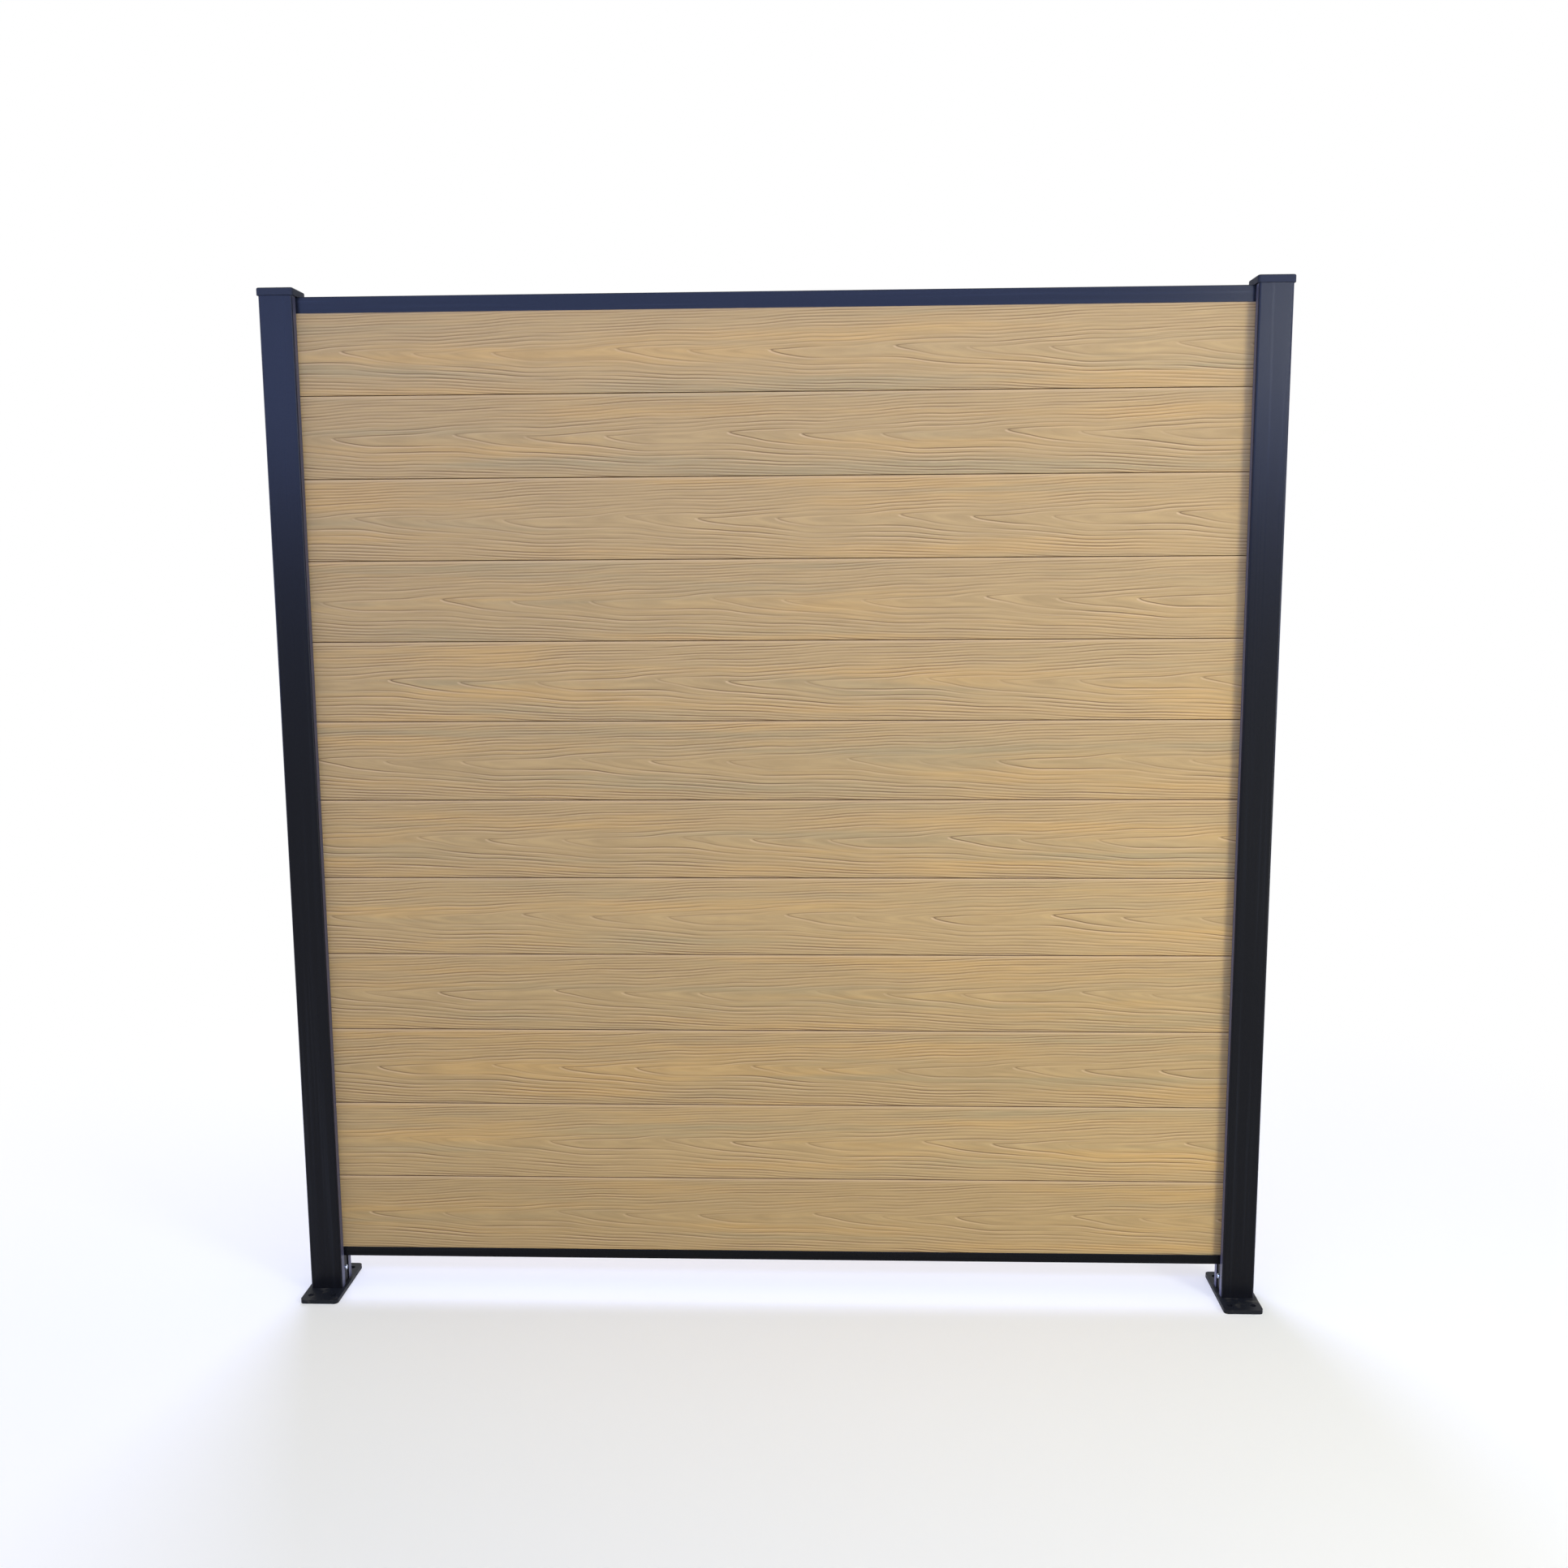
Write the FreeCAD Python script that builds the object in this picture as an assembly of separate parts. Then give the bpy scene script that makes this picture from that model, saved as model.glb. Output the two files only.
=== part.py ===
import FreeCAD, Part
import math
import os

# Fence panel: hollow wood-composite boards with tongue and groove, stacked between two
# slotted aluminium posts that stand on bolt-down feet, under a top rail and over a bottom rail.
# X runs along the fence, -Y is the front and +Z is up. The origin is on the ground, midway
# between the posts and under the middle of the boards' thickness. Lengths are in millimetres.

Vector = FreeCAD.Vector

# Boards, laid tongue up
BOARD_COUNT = 12
BOARD_COVER = 150.0  # rise from one board to the next
BOARD_THICKNESS = 20.0
SEAM_GAP = 1.2  # shadow line between two faces
TONGUE_WIDTH = 8.0
TONGUE_RADIUS = 1.5
TONGUE_CLEARANCE = 0.3
GROOVE_DEPTH = 9.0
SHOULDER_RADIUS = 2.0
LIP_RADIUS = 0.8
BOARD_WALL = 5.0
CELL_COUNT = 4
CELL_RADIUS = 3.0

# Rails
RAIL_WALL = 1.5
RAIL_RADIUS = 1.0
LIP_FIT = 0.2  # between the top rail's lips and the board's faces
TOP_RAIL_DROP = 13.0  # lips, below the web that rests on the top tongue
TOP_RAIL_BOX = 16.0
BOTTOM_RAIL_HEIGHT = 18.0
KEY_CLEARANCE = 0.6  # over the bottom rail's key, in the lowest groove

# Posts
CLEAR_WIDTH = 1728.0  # boards seen between the posts
POST_SIZE = 62.0
POST_WALL = 2.0
POST_CORNER = 4.0
CORE_WIDTH = 22.0  # between the floors of the two slots
MOUTH_RADIUS = 0.6
RAIL_FIT = 0.3  # between a rail and the slot's walls
END_CLEARANCE = 2.0  # between a board's end and the slot's floor

# Post caps
CAP_GAP = 0.5  # between the top rail and the skirt
CAP_FIT = 0.25
CAP_WALL = 2.5
CAP_ROOF = 2.5
CAP_SKIRT = 11.0
CAP_CORNER = 5.5
CAP_EDGE = 3.0
PLUG_DEPTH = 12.0
PLUG_WALL = 1.6
PLUG_FIT = 0.3
PLUG_CORNER = 2.0

# Covers of the two unused outer slots
COVER_FACE = 2.0
COVER_WALL = 1.5
COVER_LEG = 10.0
COVER_FIT = 0.3
COVER_RADIUS = 0.5

# Slot gaskets
GASKET_WIDTH = 9.0
GASKET_RECESS = 1.0  # behind the slot's mouth
GASKET_FIT = 0.1
GASKET_RADIUS = 0.6

# Bolt-down feet
PLATE_THICKNESS = 8.0
PLATE_MARGIN = 6.0  # beside the post, along the fence
PLATE_TOE = 49.0  # in front of the post and behind it
PLATE_CORNER = 8.0
ANCHOR_HOLE = 11.0
ANCHOR_SIDE_EDGE = 15.0
ANCHOR_TOE_EDGE = 20.0
SPIGOT_HEIGHT = 150.0
SPIGOT_WALL = 3.0
SPIGOT_BEND = 1.5
SPIGOT_FIT = 0.3
FOOT_SCREW_SHARES = (0.35, 0.75)  # of the spigot's height

# Blocks that carry the bottom rail
BLOCK_HEIGHT = 60.0
BLOCK_FIT = 0.6
BLOCK_RADIUS = 1.5

# Pan-head screws
SCREW_SHANK = 4.8
SCREW_HEAD = 9.5
SCREW_HEAD_HEIGHT = 3.4
SCREW_CROWN = 2.0
SCREW_CLEARANCE = 0.1
SCREW_TIP = 2.0

OVERRUN = 1.0  # how far a cut runs past what it cuts
FULL_TURN = 360
HALF_TURN = 180

# Sizes that follow
TONGUE_HEIGHT = SEAM_GAP + GROOVE_DEPTH
RAIL_WIDTH = BOARD_THICKNESS + 2 * (LIP_FIT + RAIL_WALL)
SLOT_WIDTH = RAIL_WIDTH + 2 * RAIL_FIT
SLOT_DEPTH = (POST_SIZE - CORE_WIDTH) / 2
SEAL_GAP = (SLOT_WIDTH - BOARD_THICKNESS) / 2
POST_HALF = POST_SIZE / 2
CORE_HALF = CORE_WIDTH / 2
POST_PLACE = CLEAR_WIDTH / 2 + POST_HALF
INFILL_LENGTH = CLEAR_WIDTH + 2 * (SLOT_DEPTH - END_CLEARANCE)
SPIGOT_HALF = CORE_HALF - POST_WALL - SPIGOT_FIT
SCREW_HOLE = SCREW_SHANK + 2 * SCREW_CLEARANCE

# Heights that follow
BOTTOM_RAIL_Z = PLATE_THICKNESS + BLOCK_HEIGHT
BOARDS_Z = BOTTOM_RAIL_Z + BOTTOM_RAIL_HEIGHT
STACK_TOP = BOARDS_Z + BOARD_COUNT * BOARD_COVER - SEAM_GAP + TONGUE_HEIGHT
TOP_RAIL_Z = STACK_TOP - TOP_RAIL_DROP
CAP_Z = STACK_TOP + TOP_RAIL_BOX + CAP_GAP
POST_TOP = CAP_Z + CAP_SKIRT
POST_LENGTH = POST_TOP - PLATE_THICKNESS
SUPPORT_SCREW_Z = PLATE_THICKNESS + BLOCK_HEIGHT / 2
FOOT_SCREW_Z = [PLATE_THICKNESS + share * SPIGOT_HEIGHT for share in FOOT_SCREW_SHARES]


def across(depth, height):
    """A point of a section across the fence."""
    return Vector(0, depth, height)


def plan(x, y):
    """A point of a plan section, in a post's own frame."""
    return Vector(x, y, 0)


def rounded_corner(before, here, after, radius):
    """Start, middle and end of the arc that rounds a corner."""
    back = (before - here).normalize()
    ahead = (after - here).normalize()
    half_angle = back.getAngle(ahead) / 2
    reach = radius / math.tan(half_angle)
    middle = (back + ahead).normalize() * (radius / math.sin(half_angle) - radius)
    return here + back * reach, here + middle, here + ahead * reach


def outline(corners, plane):
    """Closed wire through corners (a, b, radius), each rounded to its own radius."""
    points = [plane(a, b) for a, b, _ in corners]
    neighbours = zip(points[-1:] + points[:-1], points, points[1:] + points[:1])
    arcs = [rounded_corner(*three, corner[2]) for three, corner in zip(neighbours, corners)]
    edges = []
    for (start, middle, end), (following, _, _) in zip(arcs, arcs[1:] + arcs[:1]):
        if start != end:
            edges.append(Part.Arc(start, middle, end).toShape())
        edges.append(Part.LineSegment(end, following).toShape())
    return Part.Wire(edges)


def section(outer, hollows, plane):
    """Flat face inside an outline and outside its hollows."""
    wires = [outline(corners, plane) for corners in [outer] + hollows]
    return Part.makeFace(wires, "Part::FaceMakerBullseye")


def symmetric(right):
    """The corners of one half, going up, closed by their mirror image."""
    return right + [(-a, b, radius) for a, b, radius in reversed(right)]


def rectangle(half, low, high, radius):
    """Corners of a rectangle that is centred in its first direction."""
    return symmetric([(half, low, radius), (half, high, radius)])


def along_fence(face):
    """A section across the fence, extruded to the length that reaches into both slots."""
    return face.extrude(Vector(INFILL_LENGTH, 0, 0)).translated(Vector(-INFILL_LENGTH / 2, 0, 0))


def upright(face, low, high):
    """A plan section, extruded from one height to another."""
    return face.extrude(Vector(0, 0, high - low)).translated(Vector(0, 0, low))


def screw_bore(x, z, length):
    """Cutter for a screw that runs along the fence, starting at x."""
    return Part.makeCylinder(SCREW_HOLE / 2, length, Vector(x, 0, z), Vector(1, 0, 0))


def board():
    """Hollow plank: tongue on top, groove below, and a row of cells between its faces."""
    half = BOARD_THICKNESS / 2
    tongue = TONGUE_WIDTH / 2
    groove = tongue + TONGUE_CLEARANCE
    shoulder = BOARD_COVER - SEAM_GAP
    plank = symmetric([
        (groove, GROOVE_DEPTH, LIP_RADIUS),
        (groove, 0, LIP_RADIUS),
        (half, 0, LIP_RADIUS),
        (half, shoulder, SHOULDER_RADIUS),
        (tongue, shoulder, 0),
        (tongue, shoulder + TONGUE_HEIGHT, TONGUE_RADIUS),
    ])
    lowest = GROOVE_DEPTH + BOARD_WALL
    pitch = (shoulder - lowest) / CELL_COUNT
    floors = [lowest + pitch * cell for cell in range(CELL_COUNT)]
    cells = [
        rectangle(half - BOARD_WALL, floor, floor + pitch - BOARD_WALL, CELL_RADIUS) for floor in floors
    ]
    return along_fence(section(plank, cells, across))


def top_rail():
    """Box rail whose web rests on the top tongue, with a lip down each face of the board."""
    half = RAIL_WIDTH / 2
    inner = half - RAIL_WALL
    height = TOP_RAIL_DROP + TOP_RAIL_BOX
    profile = symmetric([
        (inner, TOP_RAIL_DROP, 0),
        (inner, 0, 0),
        (half, 0, 0),
        (half, height, RAIL_RADIUS),
    ])
    hollow = rectangle(inner, TOP_RAIL_DROP + RAIL_WALL, height - RAIL_WALL, 0)
    return along_fence(section(profile, [hollow], across)).translated(Vector(0, 0, TOP_RAIL_Z))


def keyed_profile(half, low, shoulder, key, top, radius):
    """Corners of a box with a key standing on it."""
    return symmetric([(half, low, radius), (half, shoulder, radius), (key, shoulder, 0), (key, top, 0)])


def bottom_rail():
    """Box rail that carries the lowest board on its shoulders, with a key in the board's groove."""
    half = RAIL_WIDTH / 2
    key = TONGUE_WIDTH / 2
    top = BOTTOM_RAIL_HEIGHT + GROOVE_DEPTH - KEY_CLEARANCE
    profile = keyed_profile(half, 0, BOTTOM_RAIL_HEIGHT, key, top, RAIL_RADIUS)
    hollow = keyed_profile(
        half - RAIL_WALL, RAIL_WALL, BOTTOM_RAIL_HEIGHT - RAIL_WALL, key - RAIL_WALL, top - RAIL_WALL, 0
    )
    return along_fence(section(profile, [hollow], across)).translated(Vector(0, 0, BOTTOM_RAIL_Z))


def slotted_square(half, core, slot, corner, mouth):
    """Corners of a square with a slot in the middle of its two sides along the fence."""
    front = [(half, -half, corner), (half, -slot, mouth), (core, -slot, 0)]
    back = [(a, -b, radius) for a, b, radius in reversed(front)]
    return symmetric(front + back)


def post():
    """Extruded post: a slot on each side, and one hollow of even wall round them."""
    slot = SLOT_WIDTH / 2
    outer = slotted_square(POST_HALF, CORE_HALF, slot, POST_CORNER, MOUTH_RADIUS)
    corner = max(POST_CORNER - POST_WALL, 0)
    hollow = slotted_square(POST_HALF - POST_WALL, CORE_HALF - POST_WALL, slot + POST_WALL, corner, 0)
    shape = upright(section(outer, [hollow], plan), PLATE_THICKNESS, POST_TOP)
    return drilled(shape)


def drilled(shape):
    """Screw holes through the floor of the inner slot and of the outer slot."""
    inner_floor = CORE_HALF + OVERRUN
    inner = screw_bore(0, SUPPORT_SCREW_Z, inner_floor)
    outer = [screw_bore(-inner_floor, height, inner_floor) for height in FOOT_SCREW_Z]
    return shape.cut([inner] + outer)


def cap():
    """Moulded cap: a skirt round the post's top, and a hollow plug in each of its two chambers."""
    fit = POST_HALF + CAP_FIT
    outside = fit + CAP_WALL
    footprint = section(rectangle(outside, -outside, outside, CAP_CORNER), [], plan)
    body = upright(footprint, CAP_Z, POST_TOP + CAP_ROOF)
    roof = [edge for edge in body.Edges if edge.BoundBox.ZMin > POST_TOP]
    body = body.makeFillet(CAP_EDGE, roof)
    recess = section(rectangle(fit, -fit, fit, POST_CORNER), [], plan)
    return body.cut(upright(recess, CAP_Z - OVERRUN, POST_TOP)).fuse([plug(1), plug(-1)]).removeSplitter()


def plug(side):
    """Hollow rib that stands in one chamber of the post, under the cap's roof."""
    half = POST_HALF - POST_WALL - PLUG_FIT
    low = SLOT_WIDTH / 2 + POST_WALL + PLUG_FIT
    rib = rectangle(half, low, half, PLUG_CORNER)
    hollow = rectangle(half - PLUG_WALL, low + PLUG_WALL, half - PLUG_WALL, 0)
    face = section(rib, [hollow], lambda x, y: plan(x, side * y))
    return upright(face, POST_TOP - PLUG_DEPTH, POST_TOP)


def slot_cover():
    """Channel strip that closes the outer slot, its face flush with the post's side."""
    half = SLOT_WIDTH / 2 - COVER_FIT
    channel = symmetric([
        (half - COVER_WALL, COVER_FACE, 0),
        (half - COVER_WALL, COVER_LEG, 0),
        (half, COVER_LEG, COVER_RADIUS),
        (half, 0, COVER_RADIUS),
    ])
    face = section(channel, [], lambda y, inward: plan(inward - POST_HALF, y))
    return upright(face, PLATE_THICKNESS, POST_TOP)


def gasket(side):
    """Sealing strip between the boards' faces and the slot's wall, from rail to rail."""
    mouth = POST_HALF - GASKET_RECESS
    near = BOARD_THICKNESS / 2 + GASKET_FIT
    far = near + SEAL_GAP - 2 * GASKET_FIT
    strip = rectangle(GASKET_WIDTH / 2, near, far, GASKET_RADIUS)
    face = section(strip, [], lambda x, y: plan(mouth - GASKET_WIDTH / 2 + x, side * y))
    return upright(face, BOARDS_Z, TOP_RAIL_Z)


def foot():
    """Anchor plate with a spigot of rectangular tube welded on, which stands in the post's core."""
    half = POST_HALF + PLATE_MARGIN
    toe = POST_HALF + PLATE_TOE
    plate = section(rectangle(half, -toe, toe, PLATE_CORNER), [], plan)
    solid = upright(plate, 0, PLATE_THICKNESS)
    for x in (ANCHOR_SIDE_EDGE - half, half - ANCHOR_SIDE_EDGE):
        for y in (ANCHOR_TOE_EDGE - toe, toe - ANCHOR_TOE_EDGE):
            solid = solid.cut(anchor_bore(x, y))
    return drilled(solid.fuse(spigot()))


def anchor_bore(x, y):
    """Cutter for one anchor hole through the plate."""
    return Part.makeCylinder(ANCHOR_HOLE / 2, PLATE_THICKNESS + 2 * OVERRUN, Vector(x, y, -OVERRUN))


def spigot():
    """Rectangular tube from the plate up."""
    deep = POST_HALF - POST_WALL - SPIGOT_FIT
    tube = rectangle(SPIGOT_HALF, -deep, deep, SPIGOT_BEND + SPIGOT_WALL)
    bore = rectangle(SPIGOT_HALF - SPIGOT_WALL, SPIGOT_WALL - deep, deep - SPIGOT_WALL, SPIGOT_BEND)
    return upright(section(tube, [bore], plan), PLATE_THICKNESS, PLATE_THICKNESS + SPIGOT_HEIGHT)


def support_block():
    """Moulded block in the inner slot, from the plate up to the bottom rail."""
    half = SLOT_WIDTH / 2 - BLOCK_FIT
    depth = SLOT_DEPTH - END_CLEARANCE
    corners = [(-half, 0, 0), (half, 0, 0), (half, depth, BLOCK_RADIUS), (-half, depth, BLOCK_RADIUS)]
    face = section(corners, [], lambda y, outward: plan(CORE_HALF + outward, y))
    solid = upright(face, PLATE_THICKNESS, BOTTOM_RAIL_Z)
    return solid.cut(screw_bore(CORE_HALF - OVERRUN, SUPPORT_SCREW_Z, depth + 2 * OVERRUN))


def screw(grip):
    """Pan-head screw along X: its head's seat is at zero, and it clamps a stack of the given grip."""
    shank = SCREW_SHANK / 2
    head = SCREW_HEAD / 2
    corners = [
        (grip + SCREW_TIP, 0, 0),
        (grip, shank, 0),
        (0, shank, 0),
        (0, head, 0),
        (-SCREW_HEAD_HEIGHT, head, SCREW_CROWN),
        (-SCREW_HEAD_HEIGHT, 0, 0),
    ]
    return section(corners, [], plan).revolve(Vector(0, 0, 0), Vector(1, 0, 0), FULL_TURN)


def support_screw():
    """Screw through the block, the inner slot's floor and the spigot's wall."""
    depth = SLOT_DEPTH - END_CLEARANCE
    turned = screw(depth + POST_WALL + SPIGOT_FIT + SPIGOT_WALL).rotated(
        Vector(0, 0, 0), Vector(0, 0, 1), HALF_TURN
    )
    return turned.translated(Vector(CORE_HALF + depth, 0, SUPPORT_SCREW_Z))


def foot_screws():
    """Screws through the outer slot's floor into the spigot's wall."""
    one = screw(POST_WALL + SPIGOT_FIT + SPIGOT_WALL)
    return [one.translated(Vector(-CORE_HALF, 0, height)) for height in FOOT_SCREW_Z]


def save(name, shape):
    shape.exportStep(os.path.join("parts", name + ".step"))


def left_and_right(shape):
    """A piece at the left post, and its mirror image at the right post."""
    left = shape.translated(Vector(-POST_PLACE, 0, 0))
    return left, left.mirror(Vector(0, 0, 0), Vector(1, 0, 0))


def save_pair(name, shape):
    for side, placed in zip(("left", "right"), left_and_right(shape)):
        save(side + "_" + name, placed)


def save_group(name, shapes):
    save(name, Part.makeCompound([placed for shape in shapes for placed in left_and_right(shape)]))


def main():
    os.makedirs("parts", exist_ok=True)
    plank = board()
    for index in range(BOARD_COUNT):
        place = Vector(0, 0, BOARDS_Z + index * BOARD_COVER)
        save(f"board_{index + 1:02d}", plank.translated(place))
    save("top_rail", top_rail())
    save("bottom_rail", bottom_rail())
    save_pair("post", post())
    save_pair("post_cap", cap())
    save_pair("slot_cover", slot_cover())
    save_pair("front_gasket", gasket(-1))
    save_pair("back_gasket", gasket(1))
    save_pair("post_foot", foot())
    save_pair("support_block", support_block())
    save_group("support_screws", [support_screw()])
    save_group("foot_screws", foot_screws())


main()
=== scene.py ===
import math

import bpy
import numpy as np
from bpy.props import FloatProperty, FloatVectorProperty, IntProperty, PointerProperty
from mathutils import Matrix, Vector


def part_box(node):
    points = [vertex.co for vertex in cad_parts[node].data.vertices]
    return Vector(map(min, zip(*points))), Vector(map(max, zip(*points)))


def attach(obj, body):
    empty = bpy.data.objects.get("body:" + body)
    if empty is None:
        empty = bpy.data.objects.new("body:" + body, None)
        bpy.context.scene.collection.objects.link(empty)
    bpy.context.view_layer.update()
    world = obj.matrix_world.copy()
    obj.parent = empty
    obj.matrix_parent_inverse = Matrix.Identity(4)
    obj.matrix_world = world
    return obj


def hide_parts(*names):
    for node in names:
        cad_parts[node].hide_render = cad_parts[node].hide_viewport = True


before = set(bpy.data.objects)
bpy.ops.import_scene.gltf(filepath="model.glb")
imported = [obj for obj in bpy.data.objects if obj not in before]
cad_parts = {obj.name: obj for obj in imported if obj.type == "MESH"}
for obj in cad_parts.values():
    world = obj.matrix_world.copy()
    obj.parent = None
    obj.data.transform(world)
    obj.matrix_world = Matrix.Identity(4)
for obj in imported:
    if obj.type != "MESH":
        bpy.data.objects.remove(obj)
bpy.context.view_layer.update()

bl_info = {
    "name": "Composite fence panel",
    "version": (1, 0, 0),
    "blender": (4, 5, 0),
    "location": "View3D > Sidebar > Fence",
    "description": "Dresses a fence panel of embossed composite boards between slotted aluminium posts",
    "category": "Object",
}

BODY = "root"
MM = 0.001
FULL_TURN = 2 * math.pi
SHARP_ANGLE = math.radians(55)
ALONG, UP = 0, 2
WHITE = (1.0, 1.0, 1.0, 1.0)
SOFT = "SMOOTHSTEP"
SEED = 12
MARKS = ("ring", "pace", "tilt", "press", "crest", "batch")
SIDES = {"left": -1, "right": 1}
BOARD_NODES = sorted(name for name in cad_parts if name.startswith("board_"))
BOARD_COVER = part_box(BOARD_NODES[1])[0].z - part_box(BOARD_NODES[0])[0].z

# each lamp's place, what it is aimed at, its width and its height, in metres
LAMPS = {
    "key": ((3.0, -2.8, 1.15), (0.1, 0, 0.7), 1.0, 2.6),
    "sky": ((0, -2.95, 2.3), (0, 0, 1.5), 4.4, 0.5),
    "glow": ((0, -2.95, 2.3), (0, 0, 1.5), 5.6, 1.1),
    "glint": ((1.9, -2.95, 2.3), (0.9, 0, 1.7), 0.4, 0.4),
    "top": ((0, -0.9, 4.2), (0, -0.2, 0), 4.0, 3.0),
    "back": ((-0.9, 3.8, 3.1), (0, 0, 0.7), 2.4, 1.6),
    "left_edge": ((-2.6, -0.9, 1.9), (0.9, 0, 1.7), 1.0, 2.0),
    "right_edge": ((2.6, -0.9, 1.9), (-0.9, 0, 1.7), 1.0, 2.0),
}


def linear(hex_colour):
    """sRGB hex to the linear values that the shaders take."""
    srgb = np.array([int(hex_colour[i:i + 2], 16) for i in (1, 3, 5)]) / 255
    low, high = srgb / 12.92, ((srgb + 0.055) / 1.055) ** 2.4
    return tuple(float(value) for value in np.where(srgb <= 0.04045, low, high))


def length(name, description, millimetres):
    """A length, given in millimetres and kept in metres."""
    default = millimetres * MM
    return FloatProperty(name=name, description=description, default=default, unit="LENGTH", precision=5)


def colour(name, description, hex_colour):
    """A colour, given as sRGB hex and kept as linear values."""
    default = linear(hex_colour)
    return FloatVectorProperty(name=name, description=description, default=default, subtype="COLOR")


def power(name, description, watts):
    """A lamp's power in watts."""
    return FloatProperty(name=name, description=description, default=watts, unit="POWER")


class BoardSettings(bpy.types.PropertyGroup):
    """Section, embossing and colours of the boards."""

    seam_gap: length("Seam gap", "Between one board's lips and the next one's shoulders", 1.2)
    tongue_width: length("Tongue width", "Across the fence", 8)
    groove_width: length("Groove width", "Across the fence, between the lips", 8.6)
    groove_depth: length("Groove depth", "From the lips up", 9)
    shoulder_radius: length("Shoulder radius", "Rounding of the face's upper edge", 2)
    lip_radius: length("Lip radius", "Rounding of the face's lower edge", 0.8)
    row_step: length("Row step", "Mesh step up the face", 1.25)
    column_step: length("Column step", "Mesh step along the board", 7)
    roller_repeat: length("Roller repeat", "Length after which the embossed grain comes round again", 505)
    arches: IntProperty(name="Arches", description="Cathedral arches in a turn of the roller", default=3)
    upper_ring: length("Upper ring", "Distance from the heart to the first ring above it", 9.5)
    lower_ring: length("Lower ring", "Distance from the heart to the first ring below it", 20)
    emboss_depth: length("Emboss depth", "Depth of a ring's groove", 0.3)
    emboss_width: length("Emboss width", "Half width of a ring's groove", 2.4)
    fade_length: length("Fade length", "Distance over which a ring comes and goes", 330)
    line_width: length("Line width", "Half width of the dark line in a groove", 1.5)
    # crest width is the height of the band under a shoulder that holds a painted highlight, with painted
    # shade at its very top; the rim is a painted highlight under each groove, where the groove's lower
    # wall would catch light from above
    crest_width: length("Crest width", "Height of the rubbed band under a shoulder", 7)
    rim_drop: length("Rim drop", "From a groove down to the middle of its rubbed rim", 2.3)
    rim_width: length("Rim width", "Half width of the rubbed rim", 1.4)
    body: colour("Body", "Main colour of the skin", "#BA9D70")
    amber: colour("Amber", "Warm streaks", "#C6A26C")
    grey: colour("Grey", "Weathered streaks", "#AE9972")
    # the groove colour also serves as painted shade in each seam, and the rim colour is the painted
    # highlight under each groove and each seam
    groove: colour("Groove", "Bottom of the embossed lines", "#7A5E40")
    rim: colour("Rim", "Rubbed lower rim of the embossed lines", "#D9BA94")


class CoatSettings(bpy.types.PropertyGroup):
    """Colours of the metal, plastic and rubber pieces."""

    powder: colour("Powder coat", "Posts, rails and slot covers", "#0A0B0F")
    powder_worn: colour("Rubbed powder coat", "Along the drawing lines of the extrusions", "#16181E")
    haze: colour("Haze", "Bloom of the powder coat at a grazing look", "#BCBCE4")
    steel_coat: colour("Steel coat", "Post feet", "#15171C")
    dust: colour("Dust", "Pale dust on the feet", "#6E6A62")
    cap: colour("Cap", "Moulded caps", "#1E212C")
    rubber: colour("Rubber", "Gaskets", "#121212")
    nylon: colour("Nylon", "Support blocks", "#161618")
    zinc: colour("Zinc", "Screws", "#C9CCD1")
    passivate: colour("Passivate", "Bluish clouds on the zinc", "#B4BED0")


class ScrewSettings(bpy.types.PropertyGroup):
    """Sizes of the pan-head screws."""

    shank: length("Shank", "Radius over the thread", 2.4)
    root: length("Root", "Radius under the thread", 2.0)
    pitch: length("Pitch", "From one thread to the next", 1.8)
    tip: length("Tip", "Length of the point", 2.0)
    head: length("Head", "Radius of the head", 4.75)
    head_height: length("Head height", "From the seat to the crown", 3.4)
    crown: length("Crown", "Rounding of the head's edge", 2.0)
    recess: length("Recess", "Mean radius of the six-lobed recess", 1.75)
    recess_depth: length("Recess depth", "From the crown down", 1.8)
    support_grip: length("Support grip", "Reach of a support screw under its head", 25.3)
    foot_grip: length("Foot grip", "Reach of a foot screw under its head", 7.3)


class StageSettings(bpy.types.PropertyGroup):
    """Camera, lights and floor."""

    camera_place: FloatVectorProperty(
        name="Camera place",
        description="Eye point",
        default=(0.1216, -2.8311, 1.4262),
        subtype="TRANSLATION",
    )
    camera_turn: FloatVectorProperty(
        name="Camera turn",
        description="Pitch down, roll and turn to the right",
        default=(math.radians(8.276), math.radians(-0.369), math.radians(-2.087)),
        subtype="EULER",
    )
    lens: FloatProperty(name="Lens", description="Focal length", default=34.8, unit="CAMERA")
    sensor: FloatProperty(name="Sensor", description="Width of the picture", default=36, unit="CAMERA")
    floor_radius: length("Floor radius", "Out to the edge of the floor", 30000)
    floor: colour("Floor", "Plain pale floor", "#E4E4E7")
    floor_glow: FloatProperty(
        name="Floor glow", description="Lifts the open floor to white", default=0.25, subtype="FACTOR"
    )
    shadow_reach: length("Shadow reach", "Where the floor has turned to plain white", 2600)
    ambient: FloatProperty(name="Ambient", description="Light from all round", default=0.41)
    key_power: power("Key power", "Soft light from the right", 85)
    sky_power: power("Sky power", "Cool strip light in front", 50)
    glow_power: power("Glow power", "Cool light in front, seen only as a gleam", 290)
    glint_power: power("Glint power", "Small light high on the right, seen only as a gleam", 17)
    top_power: power("Top power", "Wide soft light overhead", 30)
    back_power: power("Back power", "Soft light behind", 190)
    edge_power: power("Edge power", "Tall lights at the sides, seen only as a gleam", 70)
    key: colour("Key", "Warm white", "#FFFEE4")
    sky: colour("Sky", "Blue of a clear sky", "#92ADFF")
    day: colour("Day", "Cool white", "#CDD4FF")


SETTINGS = {
    "fence_boards": BoardSettings,
    "fence_coats": CoatSettings,
    "fence_screws": ScrewSettings,
    "fence_stage": StageSettings,
}


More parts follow.
